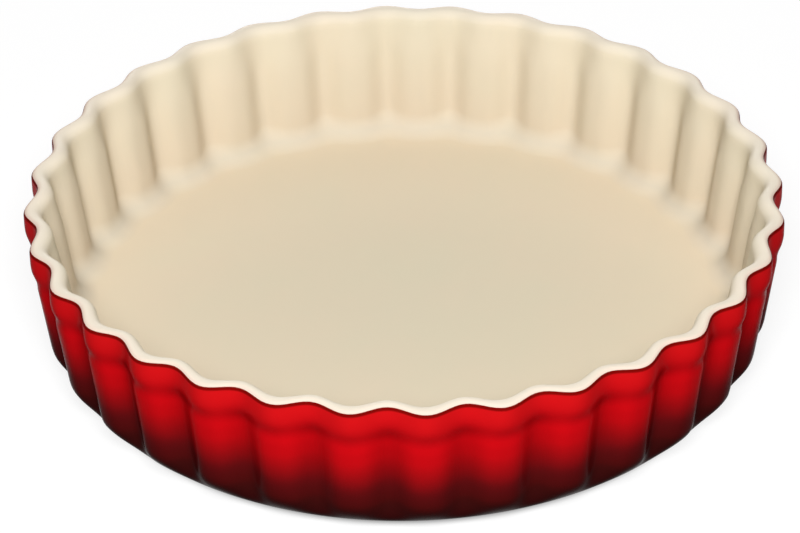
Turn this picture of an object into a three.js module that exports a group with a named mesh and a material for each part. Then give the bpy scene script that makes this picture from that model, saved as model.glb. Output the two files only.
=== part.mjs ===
// Round fluted flan dish in glazed stoneware, in millimetres, +Z up.
// The origin is the middle of the foot ring's resting plane, and a lobe of the wall points along +X.

import * as THREE from 'three';
import { mergeGeometries } from 'three/addons/utils/BufferGeometryUtils.js';

// Overall size of the glazed dish
const dishDiameter = 280; // across two opposite lobes of the lip
const dishHeight = 61; // from the foot's resting plane to the highest points of the lip

// Flutes: depths are measured from the top of a lobe to the bottom of a notch
const fluteCount = 32;
const stepsPerFlute = 4;
const lipFluteDepth = 4.1;
const wallFluteDepth = 5.1;
const outsideFluteStart = 4.5; // height above the resting plane at which the outer flutes begin
const insideLipFluteDepth = 3.3;
const insideFluteDepth = 4.6;
const floorFluteDepth = 2; // inside, at the floor's edge under the cove
const fluteSharpness = 0.2; // how much narrower a groove is than the swelling beside it
const lipDip = 0.8; // how much lower the lip runs over a lobe than over a notch

// Lip
const lipHeight = 5.5; // upright outer face, with its rounding
const lipOuterRound = 2;
const lipInnerRound = 4;
const seamTurn = THREE.MathUtils.degToRad(50); // tilt of the outer rounding where cream meets red

// Wall below the lip
const neckStep = 2.7; // how far the wall stands in from the lip's face
const neckHeight = 13; // height of the soft S-curve between lip and wall
const wallThickness = 6;
const wallDraft = THREE.MathUtils.degToRad(8);
const heelRadius = 15;
const coveRadius = 10;

// Floor and foot ring
const floorThickness = 8;
const footHeight = 1.2; // outside the ring, up to the glaze under the heel
const recessDepth = 3; // inside the ring, up to the glaze of the base
const footWidth = 7; // across the flat that the dish stands on
const footFlank = 0.6; // how far each side of the ring leans outwards at its root
const footInset = 5; // from the end of the heel's curve to the ring's root

// Glaze coats
const glazeThickness = 0.5;
const glazeBond = 0.02; // between a coat and the clay under it
const glazeSeam = 0.06; // between the cream and the red coat on the lip
const bareMargin = 1.5; // clay left bare beside the foot ring

// Curve steps
const coveSteps = 2;
const roundSteps = 2;
const neckSteps = 2;
const heelSteps = 3;

// Radii and heights that follow from the sizes above
const lipRadius = dishDiameter / 2 - lipFluteDepth / 2;
const lipCrest = dishHeight - lipDip / 2;
const lipFoot = lipCrest - lipHeight;
const wallTop = lipFoot - neckHeight;
const wallTopRadius = lipRadius - neckStep;
const insideTopRadius = wallTopRadius - wallThickness / Math.cos(wallDraft);
const floorTop = recessDepth + floorThickness;
const outerRoundCentre = new THREE.Vector2(lipRadius - lipOuterRound, lipCrest - lipOuterRound);
const innerRoundCentre = cornerCentre(insideTopRadius, lipCrest, -lipInnerRound);
const heelCentre = cornerCentre(wallTopRadius, footHeight, heelRadius);
const coveCentre = cornerCentre(insideTopRadius, floorTop, coveRadius);
const footRootRadius = heelCentre.x - footInset;
const footOuterRadius = footRootRadius - footFlank;
const footInnerRadius = footOuterRadius - footWidth;
const recessRadius = footInnerRadius - footFlank;
const creamEdgeTilt = Math.PI / 2 - seamTurn;
const redEdgeTilt = creamEdgeTilt - glazeSeam / lipOuterRound;

// Centre of the curve that joins a drafted wall, given by its radius at wallTop, to a level face.
// The radius is negative where the curve bends outwards and down from the wall, as on the lip.
function cornerCentre(radiusAtTop, level, radius) {
  const height = level + radius;
  const touchHeight = height - radius * Math.sin(wallDraft);
  const touchRadius = radiusAtTop - (wallTop - touchHeight) * Math.tan(wallDraft);
  return new THREE.Vector2(touchRadius - radius * Math.cos(wallDraft), height);
}

// Points along an arc, by the tilt of its radius from the horizontal
function arcPoints(centre, radius, fromTilt, toTilt, steps) {
  const clockwise = toTilt < fromTilt;
  const curve = new THREE.EllipseCurve(centre.x, centre.y, radius, radius, fromTilt, toTilt, clockwise);
  return curve.getPoints(steps);
}

// Points along an S-curve that leaves and arrives upright
function swayPoints(from, to, steps) {
  const middle = (from.y + to.y) / 2;
  const leave = new THREE.Vector2(from.x, middle);
  const arrive = new THREE.Vector2(to.x, middle);
  return new THREE.CubicBezierCurve(from, leave, arrive, to).getPoints(steps);
}

// Inner surface at a depth under its finished face: floor, cove, wall, then over the lip to the seam
function insideOutline(depth) {
  return [
    new THREE.Vector2(0, floorTop - depth),
    ...arcPoints(coveCentre, coveRadius + depth, -Math.PI / 2, -wallDraft, coveSteps),
    new THREE.Vector2(insideTopRadius + depth / Math.cos(wallDraft), wallTop),
    ...arcPoints(innerRoundCentre, lipInnerRound - depth, Math.PI - wallDraft, Math.PI / 2, roundSteps),
    ...arcPoints(outerRoundCentre, lipOuterRound - depth, Math.PI / 2, creamEdgeTilt, 1),
  ];
}

// Outer surface at a depth under its finished face: lip, neck, wall, then round the heel to the foot
function outsideOutline(depth) {
  const neckTop = new THREE.Vector2(lipRadius - depth, lipFoot);
  const neckFoot = new THREE.Vector2(wallTopRadius - depth / Math.cos(wallDraft), wallTop);
  return [
    ...arcPoints(outerRoundCentre, lipOuterRound - depth, redEdgeTilt, 0, roundSteps),
    ...swayPoints(neckTop, neckFoot, neckSteps),
    ...arcPoints(heelCentre, heelRadius - depth, -wallDraft, -Math.PI / 2, heelSteps),
    new THREE.Vector2(footRootRadius + bareMargin, footHeight + depth),
  ];
}

// Recess inside the foot ring at a depth under its finished face
function recessOutline(depth) {
  return [
    new THREE.Vector2(recessRadius - bareMargin, recessDepth + depth),
    new THREE.Vector2(0, recessDepth + depth),
  ];
}

// The bare foot ring, from its outer root to the middle of the recess
function footOutline(depth) {
  return [
    new THREE.Vector2(footRootRadius, footHeight + depth),
    new THREE.Vector2(footOuterRadius, 0),
    new THREE.Vector2(footInnerRadius, 0),
    new THREE.Vector2(recessRadius, recessDepth + depth),
    new THREE.Vector2(0, recessDepth + depth),
  ];
}

// Flute at a point of the outer surface: fullest on the wall, and gone low on the heel
function outsideFlute(point) {
  const lipShare = THREE.MathUtils.smoothstep(point.y, wallTop, lipFoot);
  const heelShare = THREE.MathUtils.smoothstep(point.y, outsideFluteStart, heelCentre.y);
  return {
    swing: THREE.MathUtils.lerp(wallFluteDepth, lipFluteDepth, lipShare) * heelShare,
    sharpness: -fluteSharpness * (1 - lipShare),
    dip: lipDip * lipShare,
  };
}

// Flute at a point of the inner surface: it deepens up the cove, and on the lip it meets the outer one
function insideFlute(point) {
  const lipShare = THREE.MathUtils.smoothstep(point.y, wallTop, innerRoundCentre.y);
  const crownShare = THREE.MathUtils.smoothstep(point.x, innerRoundCentre.x, outerRoundCentre.x);
  const coveShare = THREE.MathUtils.smoothstep(point.y, floorTop, coveCentre.y);
  const floorShare = THREE.MathUtils.smoothstep(point.x, 0, coveCentre.x);
  const wallDepth = THREE.MathUtils.lerp(floorFluteDepth, insideFluteDepth, coveShare);
  const lipDepth = THREE.MathUtils.lerp(insideLipFluteDepth, lipFluteDepth, crownShare);
  return {
    swing: THREE.MathUtils.lerp(wallDepth, lipDepth, lipShare) * floorShare,
    sharpness: fluteSharpness * (1 - lipShare),
    dip: lipDip * lipShare,
  };
}

// No flute: the foot ring and the base are plain and round
function plainFlute() {
  return { swing: 0, sharpness: 0, dip: 0 };
}

// Section at a depth under an outline, with the flutes of the finished face at each point
function section(outline, fluteAt, depth) {
  const finished = outline(0);
  return outline(depth).map((point, index) => ({
    radius: point.x,
    height: point.y,
    flute: fluteAt(finished[index]),
  }));
}

// Body of revolution of a section, bent into flutes; the lathe takes the section from its far end
function flutedLathe(run) {
  const points = [...run].reverse();
  const outline = points.map((point) => new THREE.Vector2(point.radius, point.height));
  const steps = fluteCount * stepsPerFlute;
  const geometry = new THREE.LatheGeometry(outline, steps);
  const position = geometry.getAttribute('position');
  for (let index = 0; index < position.count; index += 1) {
    const point = points[index % points.length];
    const step = Math.floor(index / points.length) % steps;
    const turn = (step / steps) * 2 * Math.PI;
    const phase = ((step % stepsPerFlute) / stepsPerFlute) * 2 * Math.PI;
    const { swing, sharpness, dip } = point.flute;
    const swell = (Math.cos(phase) + sharpness * (Math.cos(2 * phase) - 1)) / 2;
    const radius = point.radius + swing * swell;
    const height = point.height - (dip * Math.cos(phase)) / 2;
    position.setXYZ(index, radius * Math.sin(turn), height, radius * Math.cos(turn));
  }
  return geometry.rotateX(Math.PI / 2);
}

// A coat has its finished face, its back against the clay, and an edge wherever it stops off the axis
function coat(outline, fluteAt) {
  const face = section(outline, fluteAt, 0);
  const back = section(outline, fluteAt, glazeThickness);
  const backFace = flutedLathe(back);
  backFace.index.array.reverse();
  const edges = [[back[0], face[0]], [face.at(-1), back.at(-1)]].filter(([point]) => point.radius > 0);
  return mergeGeometries([flutedLathe(face), backFace, ...edges.map(flutedLathe)]);
}

// The clay fills what the coats leave, and stands on its bare foot ring
function clay() {
  const depth = glazeThickness + glazeBond;
  return flutedLathe([
    ...section(insideOutline, insideFlute, depth),
    ...section(outsideOutline, outsideFlute, depth),
    ...section(footOutline, plainFlute, depth),
  ]);
}

function piece(name, geometry, color, roughness) {
  geometry.computeVertexNormals();
  const material = new THREE.MeshStandardMaterial({ color, roughness, metalness: 0 });
  const mesh = new THREE.Mesh(geometry, material);
  mesh.name = name;
  return mesh;
}

const flanDish = new THREE.Group();
flanDish.add(piece('stoneware_body', clay(), 0xcdb493, 0.85));
flanDish.add(piece('inner_glaze', coat(insideOutline, insideFlute), 0xe6d8bb, 0.35));
flanDish.add(piece('outer_glaze', coat(outsideOutline, outsideFlute), 0xc4101a, 0.15));
flanDish.add(piece('base_glaze', coat(recessOutline, plainFlute), 0x4a0d12, 0.2));

export default flanDish;
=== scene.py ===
import math

import bmesh
import bpy
from mathutils import Matrix, Vector


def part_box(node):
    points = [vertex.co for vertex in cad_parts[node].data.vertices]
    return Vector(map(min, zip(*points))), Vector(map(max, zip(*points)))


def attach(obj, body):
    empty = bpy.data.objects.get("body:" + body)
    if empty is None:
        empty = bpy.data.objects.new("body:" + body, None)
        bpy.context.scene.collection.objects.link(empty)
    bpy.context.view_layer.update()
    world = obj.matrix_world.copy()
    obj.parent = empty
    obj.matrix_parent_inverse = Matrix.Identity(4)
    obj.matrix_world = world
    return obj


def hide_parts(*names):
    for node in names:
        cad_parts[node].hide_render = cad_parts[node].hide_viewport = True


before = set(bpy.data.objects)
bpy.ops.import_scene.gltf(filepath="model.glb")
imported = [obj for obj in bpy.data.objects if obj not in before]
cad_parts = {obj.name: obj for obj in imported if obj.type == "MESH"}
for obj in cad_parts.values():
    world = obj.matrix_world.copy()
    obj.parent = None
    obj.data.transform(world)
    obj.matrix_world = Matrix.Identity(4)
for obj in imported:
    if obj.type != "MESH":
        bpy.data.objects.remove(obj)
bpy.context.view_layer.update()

mm = 0.001
halfTurn = math.pi
quarterTurn = math.pi / 2
black = (0, 0, 0)
white = (1, 1, 1)

# main sizes of the dish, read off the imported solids
redLow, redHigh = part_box("outer_glaze")
creamLow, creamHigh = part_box("inner_glaze")
baseLow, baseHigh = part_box("base_glaze")

glaze = {
    "thickness": baseHigh.z - baseLow.z,
    "bond": 0.02 * mm,        # between a coat and the clay under it
    "seam": 0.06 * mm,        # between cream and red on the lip
    "bareMargin": 1.5 * mm,   # clay left bare beside the foot ring
}

flute = {
    "count": 32,
    "lipDepth": 4.1 * mm,     # lobe to notch
    "wallDepth": 5.1 * mm,
    "start": 4.5 * mm,        # height at which the outer flutes begin
    "insideLipDepth": 3.3 * mm,
    "insideDepth": 4.6 * mm,
    "floorDepth": 2.0 * mm,   # inside, at the floor's edge under the cove
    "sharpness": 0.2,         # how much narrower a groove is than the swelling beside it
    "dip": 0.8 * mm,          # how much lower the lip runs over a lobe than over a notch
}

lip = {
    "crest": creamHigh.z - flute["dip"] / 2,
    "radius": redHigh.x - flute["lipDepth"] / 2,
    "height": 5.5 * mm,
    "outerRound": 2.0 * mm,
    "innerRound": 4.0 * mm,
    "seamTurn": math.radians(50),  # how far the cream runs over the outer rounding
}

wall = {
    "neckStep": 2.7 * mm,     # how far the wall stands in from the lip
    "neckHeight": 13.0 * mm,
    "thickness": 6.0 * mm,
    "draft": math.radians(8),
    "heel": 15.0 * mm,
    "cove": 10.0 * mm,
}

foot = {
    "height": redLow.z,
    "recess": baseLow.z,
    "width": 7.0 * mm,
    "flank": 0.6 * mm,        # how far each side of the ring leans outwards
    "inset": 5.0 * mm,        # from the end of the heel's curve to the ring
    "edgeRound": 0.45 * mm,   # worn edges of the ring
    "rootRound": 1.0 * mm,    # hollow where the ring meets the recess
}

# mesh steps along each stretch of the section, and round one flute
meshSteps = {
    "floor": 14,
    "cove": 14,
    "insideWall": 18,
    "innerRound": 8,
    "crown": 2,
    "creamEdge": 5,
    "outerRound": 8,
    "lipFace": 4,
    "neck": 12,
    "outsideWall": 12,
    "heel": 18,
    "underHeel": 4,
    "recess": 12,
    "footRound": 4,
    "underFloor": 8,
    "coatNose": 6,
    "flute": 16,
}

floorTop = creamLow.z + glaze["thickness"]
lipFoot = lip["crest"] - lip["height"]
wallTop = lipFoot - wall["neckHeight"]
wallTopRadius = lip["radius"] - wall["neckStep"]
insideTopRadius = wallTopRadius - wall["thickness"] / math.cos(wall["draft"])
outerRoundCentre = (lip["radius"] - lip["outerRound"], lip["crest"] - lip["outerRound"])


# centre of a curve between the drafted wall and a level face; a bend below zero curves the other way
def cornerCentre(radiusAtTop, level, bend):
    height = level + bend
    touchHeight = height - bend * math.sin(wall["draft"])
    touchRadius = radiusAtTop - (wallTop - touchHeight) * math.tan(wall["draft"])
    return (touchRadius - bend * math.cos(wall["draft"]), height)


heelCentre = cornerCentre(wallTopRadius, foot["height"], wall["heel"])
coveCentre = cornerCentre(insideTopRadius, floorTop, wall["cove"])
innerRoundCentre = cornerCentre(insideTopRadius, lip["crest"], -lip["innerRound"])
footRoot = heelCentre[0] - foot["inset"]
footOuter = footRoot - foot["flank"]
footInner = footOuter - foot["width"]
recessRadius = footInner - foot["flank"]
creamEdge = quarterTurn - lip["seamTurn"]
redEdge = creamEdge - glaze["seam"] / lip["outerRound"]


def spread(first, last, steps):
    return [first + (last - first) * i / steps for i in range(steps + 1)]


def smoothStep(value, low, high):
    share = min(max((value - low) / (high - low), 0.0), 1.0)
    return share * share * (3 - 2 * share)


def mixed(first, last, share):
    return first + (last - first) * share


# outlines are lists of (radius, height)
def arcPoints(centre, bend, fromTilt, toTilt, steps):
    tilts = spread(fromTilt, toTilt, steps)
    return [(centre[0] + bend * math.cos(t), centre[1] + bend * math.sin(t)) for t in tilts]


def linePoints(start, end, steps):
    return [(mixed(start[0], end[0], t), mixed(start[1], end[1], t)) for t in spread(0, 1, steps)]


# S-curve that leaves and arrives upright: a Bezier curve with both handles at half height
def swayPoints(start, end, steps):
    points = []
    for t in spread(0, 1, steps):
        across = smoothStep(t, 0, 1)
        down = t * (1.5 - 1.5 * t + t * t)
        points.append((mixed(start[0], end[0], across), mixed(start[1], end[1], down)))
    return points


# joins stretches end to end, without doubling the points where they meet
def joined(*stretches):
    points = list(stretches[0])
    for stretch in stretches[1:]:
        points += stretch[1:]
    return points


# inner surface at a depth under its finished face: floor, cove, wall, then over the lip
def insideOutline(depth):
    middle = (0, floorTop - depth)
    floorEdge = (coveCentre[0], floorTop - depth)
    upright = halfTurn - wall["draft"]
    coveBend = wall["cove"] + depth
    innerBend = lip["innerRound"] - depth
    outerBend = lip["outerRound"] - depth
    cove = arcPoints(coveCentre, coveBend, -quarterTurn, -wall["draft"], meshSteps["cove"])
    innerRound = arcPoints(innerRoundCentre, innerBend, upright, quarterTurn, meshSteps["innerRound"])
    outerRound = arcPoints(outerRoundCentre, outerBend, quarterTurn, creamEdge, meshSteps["creamEdge"])
    return joined(
        linePoints(middle, floorEdge, meshSteps["floor"]),
        cove,
        linePoints(cove[-1], innerRound[0], meshSteps["insideWall"]),
        innerRound,
        linePoints(innerRound[-1], outerRound[0], meshSteps["crown"]),
        outerRound,
    )


# outer surface at a depth under its finished face: lip, neck, wall, heel
def outsideOutline(depth):
    neckTop = (lip["radius"] - depth, lipFoot)
    neckFoot = (wallTopRadius - depth / math.cos(wall["draft"]), wallTop)
    glazeEnd = (footRoot + glaze["bareMargin"], foot["height"] + depth)
    outerBend = lip["outerRound"] - depth
    heelBend = wall["heel"] - depth
    outerRound = arcPoints(outerRoundCentre, outerBend, redEdge, 0, meshSteps["outerRound"])
    heel = arcPoints(heelCentre, heelBend, -wall["draft"], -quarterTurn, meshSteps["heel"])
    return joined(
        outerRound,
        linePoints(outerRound[-1], neckTop, meshSteps["lipFace"]),
        swayPoints(neckTop, neckFoot, meshSteps["neck"]),
        linePoints(neckFoot, heel[0], meshSteps["outsideWall"]),
        heel,
        linePoints(heel[-1], glazeEnd, meshSteps["underHeel"]),
    )


def recessOutline(depth):
    level = foot["recess"] + depth
    return linePoints((recessRadius - glaze["bareMargin"], level), (0, level), meshSteps["recess"])


# foot ring with worn edges, from its outer root to the middle of the recess
def footOutline(depth):
    worn = foot["edgeRound"]
    root = foot["rootRound"]
    level = foot["recess"] + depth
    rounds = meshSteps["footRound"]
    outerEdge = arcPoints((footOuter - worn, worn), worn, 0, -quarterTurn, rounds)
    innerEdge = arcPoints((footInner + worn, worn), worn, -quarterTurn, -halfTurn, rounds)
    innerRoot = arcPoints((recessRadius - root, level - root), root, 0, quarterTurn, rounds)
    return joined(
        [(footRoot, foot["height"] + depth), outerEdge[0]],
        outerEdge,
        [outerEdge[-1], innerEdge[0]],
        innerEdge,
        [innerEdge[-1], innerRoot[0]],
        innerRoot,
        linePoints(innerRoot[-1], (0, level), meshSteps["underFloor"]),
    )


# (swing, sharpness, dip) of the flutes at a point of an outline
def outsideFlute(radius, height):
    lipShare = smoothStep(height, wallTop, lipFoot)
    heelShare = smoothStep(height, flute["start"], heelCentre[1])
    swing = mixed(flute["wallDepth"], flute["lipDepth"], lipShare) * heelShare
    return (swing, -flute["sharpness"] * (1 - lipShare), flute["dip"] * lipShare)


def insideFlute(radius, height):
    lipShare = smoothStep(height, wallTop, innerRoundCentre[1])
    crownShare = smoothStep(radius, innerRoundCentre[0], outerRoundCentre[0])
    coveShare = smoothStep(height, floorTop, coveCentre[1])
    floorShare = smoothStep(radius, 0, coveCentre[0])
    wallDepth = mixed(flute["floorDepth"], flute["insideDepth"], coveShare)
    lipDepth = mixed(flute["insideLipDepth"], flute["lipDepth"], crownShare)
    swing = mixed(wallDepth, lipDepth, lipShare) * floorShare
    return (swing, flute["sharpness"] * (1 - lipShare), flute["dip"] * lipShare)


def plainFlute(radius, height):
    return (0.0, 0.0, 0.0)


# points of an outline at a depth, each with its flute and its distance along the finished face
def section(outline, fluteAt, depth):
    finished = outline(0)
    along = 0.0
    points = []
    for i, (radius, height) in enumerate(outline(depth)):
        if i:
            along += math.dist(finished[i], finished[i - 1])
        points.append((radius, height, fluteAt(*finished[i]), along))
    return points


# length of a finished face, from the first point of its outline to the last
def faceLength(outline):
    return section(outline, plainFlute, 0)[-1][-1]


throwing = {
    "weld": 0.001 * mm,            # points closer than this become one
    "crisp": math.radians(50),     # edges that turn more than this aren't smoothed
}


# spins a section through one flute, bends it, and spins that flute round the dish's axis
def throwPiece(name, points, closed=False):
    bm = bmesh.new()
    layers = bm.verts.layers.float
    swingLayer, sharpLayer, dipLayer = (layers.new(key) for key in ("swing", "sharpness", "dip"))
    alongLayer, swellLayer = (layers.new(key) for key in ("along", "swell"))
    rim = []
    for radius, height, (swing, sharpness, dip), along in points:
        vert = bm.verts.new((radius, 0, height))
        vert[swingLayer] = swing
        vert[sharpLayer] = sharpness
        vert[dipLayer] = dip
        vert[alongLayer] = along
        rim.append(vert)
    pairs = list(zip(rim, rim[1:]))
    if closed:
        pairs.append((rim[-1], rim[0]))
    edges = [bm.edges.new(pair) for pair in pairs]
    turning = {"axis": (0, 0, 1), "cent": (0, 0, 0)}
    oneFlute = math.tau / flute["count"]
    bmesh.ops.spin(bm, geom=rim + edges, angle=oneFlute, steps=meshSteps["flute"], **turning)
    for vert in bm.verts:
        turn = math.atan2(vert.co.y, vert.co.x)
        wave = math.cos(flute["count"] * turn)
        doubled = math.cos(2 * flute["count"] * turn) - 1
        swell = (wave + vert[sharpLayer] * doubled) / 2
        radius = math.hypot(vert.co.x, vert.co.y) + vert[swingLayer] * swell
        vert.co.x = radius * math.cos(turn)
        vert.co.y = radius * math.sin(turn)
        vert.co.z -= vert[dipLayer] * wave / 2
        vert[swellLayer] = wave * vert[swingLayer] / flute["wallDepth"]
    everything = bm.verts[:] + bm.edges[:] + bm.faces[:]
    others = flute["count"] - 1
    bmesh.ops.spin(
        bm, geom=everything, angle=oneFlute * others, steps=others, use_duplicate=True, **turning)
    bmesh.ops.remove_doubles(bm, verts=bm.verts, dist=throwing["weld"])
    bmesh.ops.recalc_face_normals(bm, faces=bm.faces)
    mesh = bpy.data.meshes.new(name)
    bm.to_mesh(mesh)
    bm.free()
    mesh.shade_smooth()
    mesh.set_sharp_from_angle(angle=throwing["crisp"])
    piece = bpy.data.objects.new(name, mesh)
    bpy.context.collection.objects.link(piece)
    return piece


# rounded edge of a coat, from one tilt to the other about the middle of its thickness
def coatNose(end, fromTilt, toTilt):
    radius, height, bend, along = end
    half = glaze["thickness"] / 2
    arc = arcPoints((radius, height + half), half, fromTilt, toTilt, meshSteps["coatNose"])
    return [(r, h, bend, along) for r, h in arc[1:-1]]


def innerCoat(name):
    face = section(insideOutline, insideFlute, 0)
    back = section(insideOutline, insideFlute, glaze["thickness"])
    return throwPiece(name, face + back[::-1])


def outerCoat(name):
    face = section(outsideOutline, outsideFlute, 0)
    back = section(outsideOutline, outsideFlute, glaze["thickness"])
    nose = coatNose(face[-1], -quarterTurn, -3 * quarterTurn)
    return throwPiece(name, face + nose + back[::-1], closed=True)


def recessCoat(name):
    face = section(recessOutline, plainFlute, 0)
    back = section(recessOutline, plainFlute, glaze["thickness"])
    nose = coatNose(face[0], quarterTurn, -quarterTurn)
    return throwPiece(name, back[::-1] + nose + face)


def clayBody(name):
    depth = glaze["thickness"] + glaze["bond"]
    points = section(insideOutline, insideFlute, depth)
    points += section(outsideOutline, outsideFlute, depth)
    points += section(footOutline, plainFlute, depth)
    return throwPiece(name, points)


# small helpers for node materials
def newMaterial(name):
    material = bpy.data.materials.new(name)
    material.use_nodes = True
    tree = material.node_tree
    shader = tree.nodes["Principled BSDF"]
    return material, tree, shader


def node(tree, kind, **settings):
    made = tree.nodes.new(kind)
    for key, value in settings.items():
        setattr(made, key, value)
    return made


# gives a socket a number, a colour or the output of another node
def feed(tree, value, socket):
    if isinstance(value, (int, float)):
        socket.default_value = value
    elif isinstance(value, tuple):
        socket.default_value = (*value, 1)
    else:
        tree.links.new(value, socket)


def mathNode(tree, operation, *values, clamp=False):
    made = node(tree, "ShaderNodeMath", operation=operation, use_clamp=clamp)
    for value, socket in zip(values, made.inputs):
        feed(tree, value, socket)
    return made.outputs["Value"]


def attribute(tree, name):
    return node(tree, "ShaderNodeAttribute", attribute_name=name).outputs["Fac"]


def noise(tree, scale, detail, roughness=0.5):
    place = node(tree, "ShaderNodeTexCoord").outputs["Object"]
    made = node(tree, "ShaderNodeTexNoise")
    made.inputs["Scale"].default_value = scale
    made.inputs["Detail"].default_value = detail
    made.inputs["Roughness"].default_value = roughness
    tree.links.new(place, made.inputs["Vector"])
    return made.outputs["Fac"]


def ramp(tree, factor, stops, interpolation="EASE"):
    made = node(tree, "ShaderNodeValToRGB")
    made.color_ramp.interpolation = interpolation
    elements = made.color_ramp.elements
    while len(elements) < len(stops):
        elements.new(1.0)
    for element, (place, colour) in zip(elements, stops):
        element.position = place
        element.color = (*colour, 1)
    tree.links.new(factor, made.inputs["Fac"])
    return made.outputs["Color"]


def mixColour(tree, factor, first, second, blend="MIX"):
    made = node(tree, "ShaderNodeMix", data_type="RGBA", blend_type=blend)
    sockets = {socket.identifier: socket for socket in (*made.inputs, *made.outputs)}
    feed(tree, factor, sockets["Factor_Float"])
    feed(tree, first, sockets["A_Color"])
    feed(tree, second, sockets["B_Color"])
    return sockets["Result_Color"]


# colour, sheen and fine unevenness of a surface
def finishSurface(tree, shader, look, colour, relief):
    tree.links.new(colour, shader.inputs["Base Color"])
    shader.inputs["Roughness"].default_value = look["roughness"]
    shader.inputs["Specular IOR Level"].default_value = look["specular"]
    uneven = node(tree, "ShaderNodeBump")
    uneven.inputs["Strength"].default_value = look["reliefStrength"]
    uneven.inputs["Distance"].default_value = look["reliefDepth"]
    tree.links.new(relief, uneven.inputs["Height"])
    tree.links.new(uneven.outputs["Normal"], shader.inputs["Normal"])


creamLook = {
    # floor lighter and redder towards its edge: painted bounce light from the walls
    "floor": (0.73, 0.661, 0.506),
    "floorEdge": (0.76, 0.66, 0.503),
    # cove darker than the floor beside it: painted shade
    "cove": (0.645, 0.583, 0.472),
    # wall darker and warmer towards its foot, lighter towards its head and up through the inner rounding:
    # painted shade and painted light
    "wallFoot": (0.655, 0.565, 0.435),
    "wallHead": (0.738, 0.667, 0.52),
    "brow": (0.775, 0.70, 0.557),    # middle of the inner rounding
    # crown of the lip whiter: painted highlight
    "crown": (0.88, 0.795, 0.665),
    "lipEdge": (0.82, 0.63, 0.53),
    "rosy": (1.03, 0.99, 0.98),      # tints of the slow clouds in the coat
    "greenish": (0.98, 1.0, 0.985),
    "clouds": {"scale": 34, "detail": 3},
    "ripple": {"scale": 90, "detail": 2},
    "reliefStrength": 0.12,
    "reliefDepth": 0.4 * mm,
    "roughness": 0.5,
    "specular": 0.03,
}


def creamGlaze():
    material, tree, shader = newMaterial("cream_glaze")
    quarterBend = quarterTurn - wall["draft"]
    span = faceLength(insideOutline)
    floorEdge = coveCentre[0]
    wallFoot = floorEdge + wall["cove"] * quarterBend
    wallHead = wallFoot + (innerRoundCentre[1] - coveCentre[1]) / math.cos(wall["draft"])
    brow = wallHead + lip["innerRound"] * quarterBend / 2
    crown = span - lip["outerRound"] * lip["seamTurn"]
    alongShare = mathNode(tree, "DIVIDE", attribute(tree, "along"), span)
    # the coat's colour along the section carries painted light and shade: bounce light at the floor's
    # edge, shade in the cove and at the wall's foot, a highlight on the lip
    shade = ramp(tree, alongShare, [
        (0.0, creamLook["floor"]),
        (floorEdge / span, creamLook["floorEdge"]),
        ((floorEdge + wallFoot) / 2 / span, creamLook["cove"]),
        (wallFoot / span, creamLook["wallFoot"]),
        (wallHead / span, creamLook["wallHead"]),
        (brow / span, creamLook["brow"]),
        (crown / span, creamLook["crown"]),
        (1.0, creamLook["lipEdge"]),
    ], "LINEAR")
    clouds = noise(tree, **creamLook["clouds"])
    tint = mixColour(tree, clouds, creamLook["rosy"], creamLook["greenish"])
    colour = mixColour(tree, 1.0, shade, tint, "MULTIPLY")
    finishSurface(tree, shader, creamLook, colour, noise(tree, **creamLook["ripple"]))
    return material


redLook = {
    "shades": {  # distance down the face from the cream edge, and the colour there
        # the shades carry painted light and shade as well as the glaze's own grading
        "lip": (4.5 * mm, (0.675, 0.007, 0.0095)),
        # the neck darkened with painted shade, and the swelling below it lightened with painted light
        "neck": (13.5 * mm, (0.61, 0.004, 0.0075)),
        "litPillow": (19.5 * mm, (0.65, 0.0038, 0.0075)),
        "belly": (26.5 * mm, (0.53, 0.0045, 0.0075)),
        # darker from here down: partly the glaze's own graded colour, partly painted shade at the wall's
        # foot and under the heel
        "wallFoot": (36.5 * mm, (0.19, 0.0052, 0.0068)),
        "heel": (46.0 * mm, (0.068, 0.0048, 0.0048)),
        "underHeel": (54.0 * mm, (0.040, 0.0042, 0.0042)),
    },
    # in a groove the dark shades reach higher and the red is darkened: painted shade in the grooves
    "groovePull": 2.0 * mm,   # how much higher the dark shades reach in a groove
    "spray": {"scale": 60, "detail": 3},
    "sprayWidth": 3.0 * mm,   # over which the shades wander
    "grooveBand": ((7.0 * mm, 0), (14.0 * mm, 1), (28.0 * mm, 1), (40.0 * mm, 0)),  # darker grooves
    "grooveShadeStrength": 0.25,       # how much darker, at most
    "groovePower": 2.0,       # keeps the dark near the bottom of a groove
    "edge": (0.19, 0.003, 0.002),
    "edgeWidth": 1.7 * mm,    # dark line under the cream
    "edgeSolid": 0.45,        # share of the line before it fades
    "ripple": {"scale": 110, "detail": 2},
    "reliefStrength": 0.12,
    "reliefDepth": 0.4 * mm,
    "roughness": 0.2,
    "specular": 0.002,
}


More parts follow.
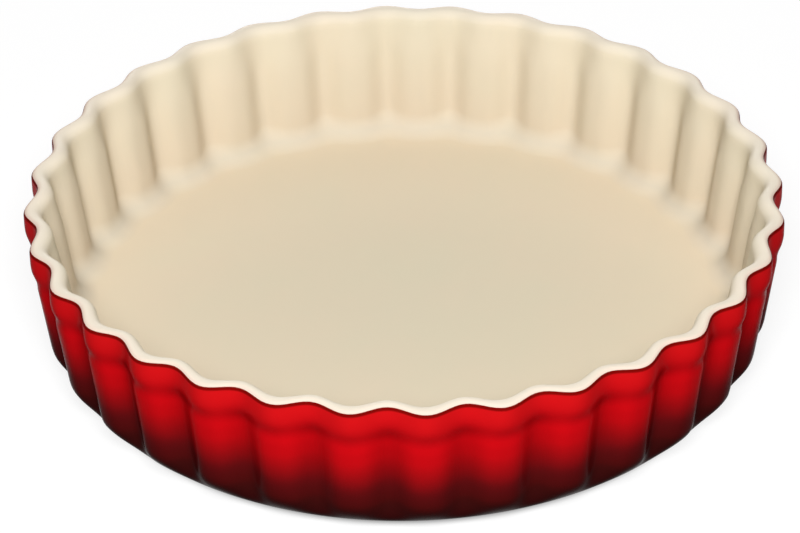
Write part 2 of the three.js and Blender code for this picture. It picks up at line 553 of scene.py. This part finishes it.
def redGlaze():
    material, tree, shader = newMaterial("red_glaze")
    span = faceLength(outsideOutline)
    along = attribute(tree, "along")
    # grooves get painted shade: the shades reach higher there and the colour is darkened
    groove = mathNode(tree, "MULTIPLY_ADD", attribute(tree, "swell"), -0.5, 0.5)  # 1 in a full groove
    pulled = mathNode(tree, "MULTIPLY_ADD", groove, redLook["groovePull"], along)
    wander = mathNode(tree, "SUBTRACT", noise(tree, **redLook["spray"]), 0.5)
    reach = mathNode(tree, "MULTIPLY_ADD", wander, redLook["sprayWidth"], pulled)
    # painted light and shade along the face, with the glaze's own darkening towards the foot
    shades = [(distance / span, colour) for distance, colour in redLook["shades"].values()]
    shade = ramp(tree, mathNode(tree, "DIVIDE", reach, span), shades, "CARDINAL")
    band = [(distance / span, (dark, dark, dark)) for distance, dark in redLook["grooveBand"]]
    inBand = ramp(tree, mathNode(tree, "DIVIDE", along, span), band)
    deep = mathNode(tree, "POWER", groove, redLook["groovePower"])
    grooveShare = mathNode(tree, "MULTIPLY", deep, inBand)
    dimmed = mathNode(tree, "MULTIPLY_ADD", grooveShare, -redLook["grooveShadeStrength"], 1.0)
    grooveShaded = mixColour(tree, 1.0, shade, dimmed, "MULTIPLY")
    edgeShare = mathNode(tree, "DIVIDE", along, redLook["edgeWidth"])
    edge = ramp(tree, edgeShare, [(redLook["edgeSolid"], white), (1.0, black)])
    colour = mixColour(tree, edge, grooveShaded, redLook["edge"])
    finishSurface(tree, shader, redLook, colour, noise(tree, **redLook["ripple"]))
    return material


baseLook = {
    "colour": (0.05, 0.004, 0.005),
    "dark": (0.022, 0.003, 0.004),
    "clouds": {"scale": 45, "detail": 4},
    "ripple": {"scale": 110, "detail": 2},
    "reliefStrength": 0.15,
    "reliefDepth": 0.4 * mm,
    "roughness": 0.28,
    "specular": 0.2,
}


def baseGlaze():
    material, tree, shader = newMaterial("base_glaze")
    clouds = noise(tree, **baseLook["clouds"])
    colour = mixColour(tree, clouds, baseLook["colour"], baseLook["dark"])
    finishSurface(tree, shader, baseLook, colour, noise(tree, **baseLook["ripple"]))
    return material


clayLook = {
    "pale": (0.62, 0.49, 0.34),
    "dark": (0.45, 0.33, 0.21),
    "grain": {"scale": 900, "detail": 4, "roughness": 0.7},
    "reliefStrength": 0.4,
    "reliefDepth": 0.15 * mm,
    "roughness": 0.88,
    "specular": 0.5,
}


def bareClay():
    material, tree, shader = newMaterial("bare_stoneware")
    grain = noise(tree, **clayLook["grain"])
    colour = mixColour(tree, grain, clayLook["dark"], clayLook["pale"])
    finishSurface(tree, shader, clayLook, colour, grain)
    return material


def finishPiece(piece, material, nodeName):
    piece.data.materials.append(material)
    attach(piece, "root")
    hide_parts(nodeName)


finishPiece(clayBody("stoneware"), bareClay(), "stoneware_body")
print("clay body thrown")

finishPiece(innerCoat("cream_coat"), creamGlaze(), "inner_glaze")
finishPiece(outerCoat("red_coat"), redGlaze(), "outer_glaze")
finishPiece(recessCoat("recess_coat"), baseGlaze(), "base_glaze")
print("glaze coats laid on")


# 1 for what the camera sees straight, in gloss or through glass, and 0 for the light that falls on things
def seenShare(tree):
    path = node(tree, "ShaderNodeLightPath").outputs
    seen = mathNode(tree, "ADD", path["Is Camera Ray"], path["Is Glossy Ray"])
    return mathNode(tree, "ADD", seen, path["Is Transmission Ray"], clamp=True)


floorLook = {
    "size": 6.0,
    "colour": (0.22, 0.22, 0.22),
    "lift": 0.82,             # brings what is seen of the floor up to white
    # the lift fading under the heel is a painted contact shadow
    "contactShadow": 7.5 * mm,      # width under the heel over which the lift fades out towards the foot
    "roughness": 0.9,
    "specular": 0.0,
}


def paleFloor():
    bm = bmesh.new()
    bmesh.ops.create_grid(bm, x_segments=1, y_segments=1, size=floorLook["size"] / 2)
    mesh = bpy.data.meshes.new("floor")
    bm.to_mesh(mesh)
    bm.free()
    material, tree, shader = newMaterial("pale_floor")
    shader.inputs["Base Color"].default_value = (*floorLook["colour"], 1)
    shader.inputs["Roughness"].default_value = floorLook["roughness"]
    shader.inputs["Specular IOR Level"].default_value = floorLook["specular"]
    shader.inputs["Emission Color"].default_value = (*white, 1)
    away = node(tree, "ShaderNodeVectorMath", operation="LENGTH")
    tree.links.new(node(tree, "ShaderNodeTexCoord").outputs["Object"], away.inputs["Vector"])
    # painted contact shadow: what is seen of the floor goes dark towards the foot
    clearOf = heelCentre[0] + floorLook["contactShadow"]
    awayShare = mathNode(tree, "DIVIDE", away.outputs["Value"], clearOf)
    beyondContactShadow = ramp(tree, awayShare, [(heelCentre[0] / clearOf, black), (1.0, white)])
    lifted = mathNode(tree, "MULTIPLY", seenShare(tree), floorLook["lift"])
    lift = mathNode(tree, "MULTIPLY", lifted, beyondContactShadow)
    tree.links.new(lift, shader.inputs["Emission Strength"])
    mesh.materials.append(material)
    floor = bpy.data.objects.new("floor", mesh)
    bpy.context.collection.objects.link(floor)


# lamps: angles in degrees from the front and from the floor, metres, watts
lightLook = {
    "world": 0.04,
    "key": {"turn": -3.5, "elevation": 43, "distance": 1.8, "size": 0.7, "power": 37.2},
    "back": {"turn": 180, "elevation": 50, "distance": 1.6, "size": 0.8, "power": 2.7},
    "low": {"turn": 180, "elevation": 8, "distance": 1.6, "size": 0.35, "power": 9.5},
}


def aimAt(thing, target):
    thing.rotation_euler = (target - thing.location).to_track_quat("-Z", "Y").to_euler()


def softbox(name):
    look = lightLook[name]
    lamp = bpy.data.lights.new(name + "_softbox", "AREA")
    lamp.shape = "DISK"
    lamp.size = look["size"]
    lamp.energy = look["power"]
    box = bpy.data.objects.new(name + "_softbox", lamp)
    bpy.context.collection.objects.link(box)
    rise = math.radians(look["elevation"])
    turn = Matrix.Rotation(math.radians(look["turn"]), 3, "Z")
    box.location = look["distance"] * (turn @ Vector((0, -math.cos(rise), math.sin(rise))))
    aimAt(box, Vector((0, 0, lip["crest"] / 2)))


def studioLight():
    world = bpy.data.worlds.new("studio")
    bpy.context.scene.world = world
    world.use_nodes = True
    tree = world.node_tree
    sky = tree.nodes["Background"]
    sky.inputs["Color"].default_value = (*white, 1)
    dim = lightLook["world"]
    strength = mathNode(tree, "MULTIPLY_ADD", seenShare(tree), 1 - dim, dim)
    tree.links.new(strength, sky.inputs["Strength"])
    for name in ("key", "back", "low"):
        softbox(name)


# the photograph's view; right, down and away give the rim's middle from the camera, in lip radii
view = {
    "azimuth": math.radians(-2.72),
    "elevation": math.radians(33.497),
    "roll": math.radians(-0.892),
    "lens": 198.95,           # lens and sensor in millimetres, as the camera takes them
    "sensor": 36.0,
    "right": 0.0139,
    "down": -0.1925,
    "away": 11.797,
    "rimBelowCrest": 0.3 * mm,
}


def photoCamera():
    turn = Matrix.Rotation(view["azimuth"], 3, "Z")
    rise = view["elevation"]
    ahead = turn @ Vector((0, math.cos(rise), -math.sin(rise)))
    upward = turn @ Vector((0, math.sin(rise), math.cos(rise)))
    sideways = turn @ Vector((1, 0, 0))
    rimMiddle = Vector((0, 0, lip["crest"] - view["rimBelowCrest"]))
    offset = view["right"] * sideways - view["down"] * upward + view["away"] * ahead
    data = bpy.data.cameras.new("photo_camera")
    data.lens = view["lens"]
    data.sensor_width = view["sensor"]
    camera = bpy.data.objects.new("photo_camera", data)
    bpy.context.collection.objects.link(camera)
    axes = Matrix((sideways, upward, -ahead)).transposed() @ Matrix.Rotation(view["roll"], 3, "Z")
    camera.rotation_euler = axes.to_euler()
    camera.location = rimMiddle - lip["radius"] * offset
    bpy.context.scene.camera = camera


paleFloor()
studioLight()
photoCamera()
bpy.context.scene.view_settings.view_transform = "Standard"
print("floor, light and camera set")
